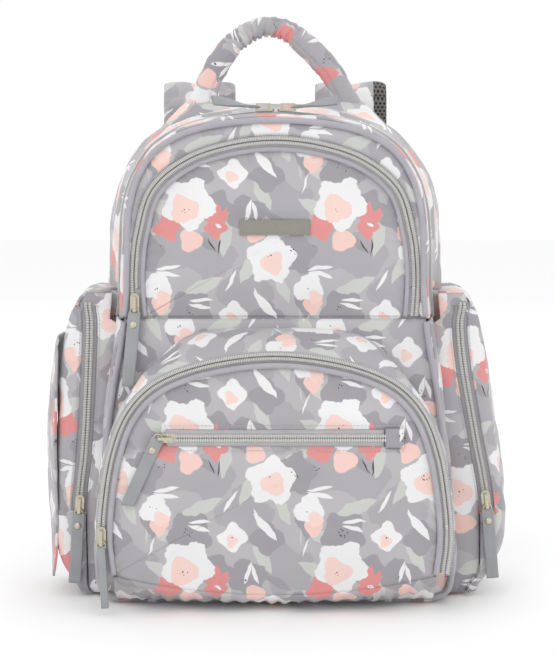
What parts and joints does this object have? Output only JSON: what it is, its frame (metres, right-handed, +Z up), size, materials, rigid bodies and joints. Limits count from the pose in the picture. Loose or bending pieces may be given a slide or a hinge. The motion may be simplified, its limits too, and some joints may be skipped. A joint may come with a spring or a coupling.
{
  "type": "backpack diaper bag",
  "caption": "Backpack diaper bag with a folding front section, arched zipped pockets, side pockets, a carry handle and padded shoulder straps",
  "frame": {"origin": "on the floor under the middle of the bag", "axes": "+Z up, front of the bag toward -Y, the wearer's back toward +Y"},
  "size_m": [0.3817, 0.2205, 0.4767],
  "materials": {
    "print_cloth": "satin woven cloth with a printed all-over flower pattern",
    "piping": "smooth covered cord",
    "zip_chain": "nylon coil on woven tape",
    "hardware": "pale satin metal",
    "pull_strip": "smooth coated strip with cut edges",
    "lining_cloth": "thin plain woven cloth",
    "board": "plain stiff sheet",
    "mesh": "open spacer mesh",
    "webbing": "ribbed woven band",
    "lock_plastic": "moulded, fine grain"
  },
  "bodies": {
    "bag": {"main_gusset": "print_cloth", "lower_front_panel": "print_cloth", "back_panel": "print_cloth", "back_padding": "mesh", "base_board": "board", "lining": "lining_cloth", "front_piping_lower": "piping", "main_zip_rear": "zip_chain", "lower_pocket_gusset": "print_cloth", "lower_zip_outer": "zip_chain", "left_gusset": "print_cloth", "left_zip_inner": "zip_chain", "right_gusset": "print_cloth", "right_zip_inner": "zip_chain", "left_webbing": "webbing", "right_webbing": "webbing", "left_strap_root": "print_cloth", "right_strap_root": "print_cloth"},
    "front_section": {"lid_gusset": "print_cloth", "upper_front_panel": "print_cloth", "upper_pocket_lining": "lining_cloth", "front_piping_upper": "piping", "main_zip_front": "zip_chain", "upper_zip_outer": "zip_chain"},
    "main_left_slider_body": {"main_left_slider": "hardware"},
    "main_left_pull_body": {"main_left_pull": "pull_strip"},
    "main_right_slider_body": {"main_right_slider": "hardware"},
    "main_right_pull_body": {"main_right_pull": "pull_strip"},
    "upper_flap": {"upper_flap_panel": "print_cloth", "upper_flap_piping": "piping", "upper_zip_inner": "zip_chain", "name_plate": "hardware"},
    "upper_slider_body": {"upper_slider": "hardware"},
    "upper_pull_body": {"upper_pull": "pull_strip", "upper_rivet": "hardware"},
    "lower_flap": {"lower_flap_panel": "print_cloth", "lower_flap_piping": "piping", "lower_zip_inner": "zip_chain", "welt_zip": "zip_chain"},
    "lower_slider_body": {"lower_slider": "hardware"},
    "lower_pull_body": {"lower_pull": "pull_strip"},
    "welt_slider_body": {"welt_slider": "hardware"},
    "welt_pull_body": {"welt_pull": "pull_strip", "welt_rivet": "hardware"},
    "left_side_panel": {"left_panel": "print_cloth", "left_zip_outer": "zip_chain"},
    "right_side_panel": {"right_panel": "print_cloth", "right_zip_outer": "zip_chain"},
    "left_side_slider_body": {"left_side_slider": "hardware"},
    "left_side_pull_body": {"left_side_pull": "pull_strip", "left_side_rivet": "hardware"},
    "right_side_slider_body": {"right_side_slider": "hardware"},
    "right_side_pull_body": {"right_side_pull": "pull_strip", "right_side_rivet": "hardware"},
    "left_outer_flap_body": {"left_outer_flap": "print_cloth"},
    "handle": {"carry_handle": "print_cloth"},
    "left_strap_body": {"left_strap": "print_cloth", "left_ladder_lock": "lock_plastic"},
    "right_strap_body": {"right_strap": "print_cloth", "right_ladder_lock": "lock_plastic"}
  },
  "joints": [
    {"name": "front_section_fold", "type": "hinge", "parent": "bag", "child": "front_section", "pos_m": [0, -0.062, 0.2313], "axis": [1, 0, 0], "range_deg": [0, 11]},
    {"name": "main_left_slider_run", "type": "hinge", "parent": "front_section", "child": "main_left_slider_body", "pos_m": [0, -0.034, 0.0926], "axis": [0, -1, 0], "range_deg": [0, 9]},
    {"name": "main_right_slider_run", "type": "hinge", "parent": "front_section", "child": "main_right_slider_body", "pos_m": [0, -0.034, 0.0926], "axis": [0, 1, 0], "range_deg": [0, 9]},
    {"name": "main_left_pull_swing", "type": "hinge", "parent": "main_left_slider_body", "child": "main_left_pull_body", "pos_m": [-0.0121, -0.034, 0.3999], "axis": [0, 1, 0], "range_deg": [0, 110]},
    {"name": "main_right_pull_swing", "type": "hinge", "parent": "main_right_slider_body", "child": "main_right_pull_body", "pos_m": [0.0131, -0.034, 0.3999], "axis": [0, -1, 0], "range_deg": [0, 110]},
    {"name": "upper_flap_fold", "type": "hinge", "parent": "front_section", "child": "upper_flap", "pos_m": [0, -0.062, 0.2322], "axis": [1, 0, 0], "range_deg": [0, 50]},
    {"name": "upper_slider_run", "type": "slide", "parent": "front_section", "child": "upper_slider_body", "axis": [0.022, 0, 0.9998], "range_m": [0, 0.045]},
    {"name": "upper_pull_swing", "type": "hinge", "parent": "upper_slider_body", "child": "upper_pull_body", "pos_m": [-0.112, -0.0673, 0.2404], "axis": [-1, 0, 0], "range_deg": [0, 105]},
    {"name": "lower_flap_fold", "type": "hinge", "parent": "bag", "child": "lower_flap", "pos_m": [0, -0.1012, 0.0316], "axis": [1, 0, 0], "range_deg": [0, 45]},
    {"name": "lower_slider_run", "type": "slide", "parent": "bag", "child": "lower_slider_body", "axis": [0, 0, 1], "range_m": [0, 0.03]},
    {"name": "lower_pull_swing", "type": "hinge", "parent": "lower_slider_body", "child": "lower_pull_body", "pos_m": [-0.1366, -0.1063, 0.0594], "axis": [-1, 0, 0], "range_deg": [0, 105]},
    {"name": "welt_slider_run", "type": "slide", "parent": "lower_flap", "child": "welt_slider_body", "axis": [1, 0, 0], "range_m": [0, 0.165]},
    {"name": "welt_pull_swing", "type": "hinge", "parent": "welt_slider_body", "child": "welt_pull_body", "pos_m": [-0.0881, -0.1064, 0.141], "axis": [0, 0, 1], "range_deg": [0, 105]},
    {"name": "left_panel_fold", "type": "hinge", "parent": "bag", "child": "left_side_panel", "pos_m": [-0.178, -0.004, 0.01], "axis": [0, -1, 0], "range_deg": [0, 20]},
    {"name": "right_panel_fold", "type": "hinge", "parent": "bag", "child": "right_side_panel", "pos_m": [0.18, -0.004, 0.01], "axis": [0, 1, 0], "range_deg": [0, 20]},
    {"name": "left_side_slider_run", "type": "slide", "parent": "bag", "child": "left_side_slider_body", "axis": [0, 0, 1], "range_m": [0, 0.04]},
    {"name": "left_side_pull_swing", "type": "hinge", "parent": "left_side_slider_body", "child": "left_side_pull_body", "pos_m": [-0.16018, -0.0463, 0.07341], "axis": [-0.9976, 0, 0.0698], "range_deg": [0, 105]},
    {"name": "right_side_slider_run", "type": "slide", "parent": "bag", "child": "right_side_slider_body", "axis": [-0.165, 0, 0.9863], "range_m": [0, 0.04]},
    {"name": "right_side_pull_swing", "type": "hinge", "parent": "right_side_slider_body", "child": "right_side_pull_body", "pos_m": [0.17296, -0.0463, 0.07742], "axis": [-0.9903, 0, -0.1392], "range_deg": [0, 105]},
    {"name": "left_outer_flap_fold", "type": "hinge", "parent": "left_side_panel", "child": "left_outer_flap_body", "pos_m": [-0.1775, -0.004, 0.212], "axis": [0, 1, 0], "range_deg": [0, 45]},
    {"name": "handle_fold", "type": "hinge", "parent": "bag", "child": "handle", "pos_m": [0, 0.024, 0.4045], "axis": [-1, 0, 0], "range_deg": [-70, 40]},
    {"name": "left_strap_swing", "type": "hinge", "parent": "bag", "child": "left_strap_body", "pos_m": [-0.066, 0.087, 0.409], "axis": [1, 0, 0], "range_deg": [0, 20]},
    {"name": "right_strap_swing", "type": "hinge", "parent": "bag", "child": "right_strap_body", "pos_m": [0.066, 0.087, 0.409], "axis": [1, 0, 0], "range_deg": [0, 20]}
  ]
}
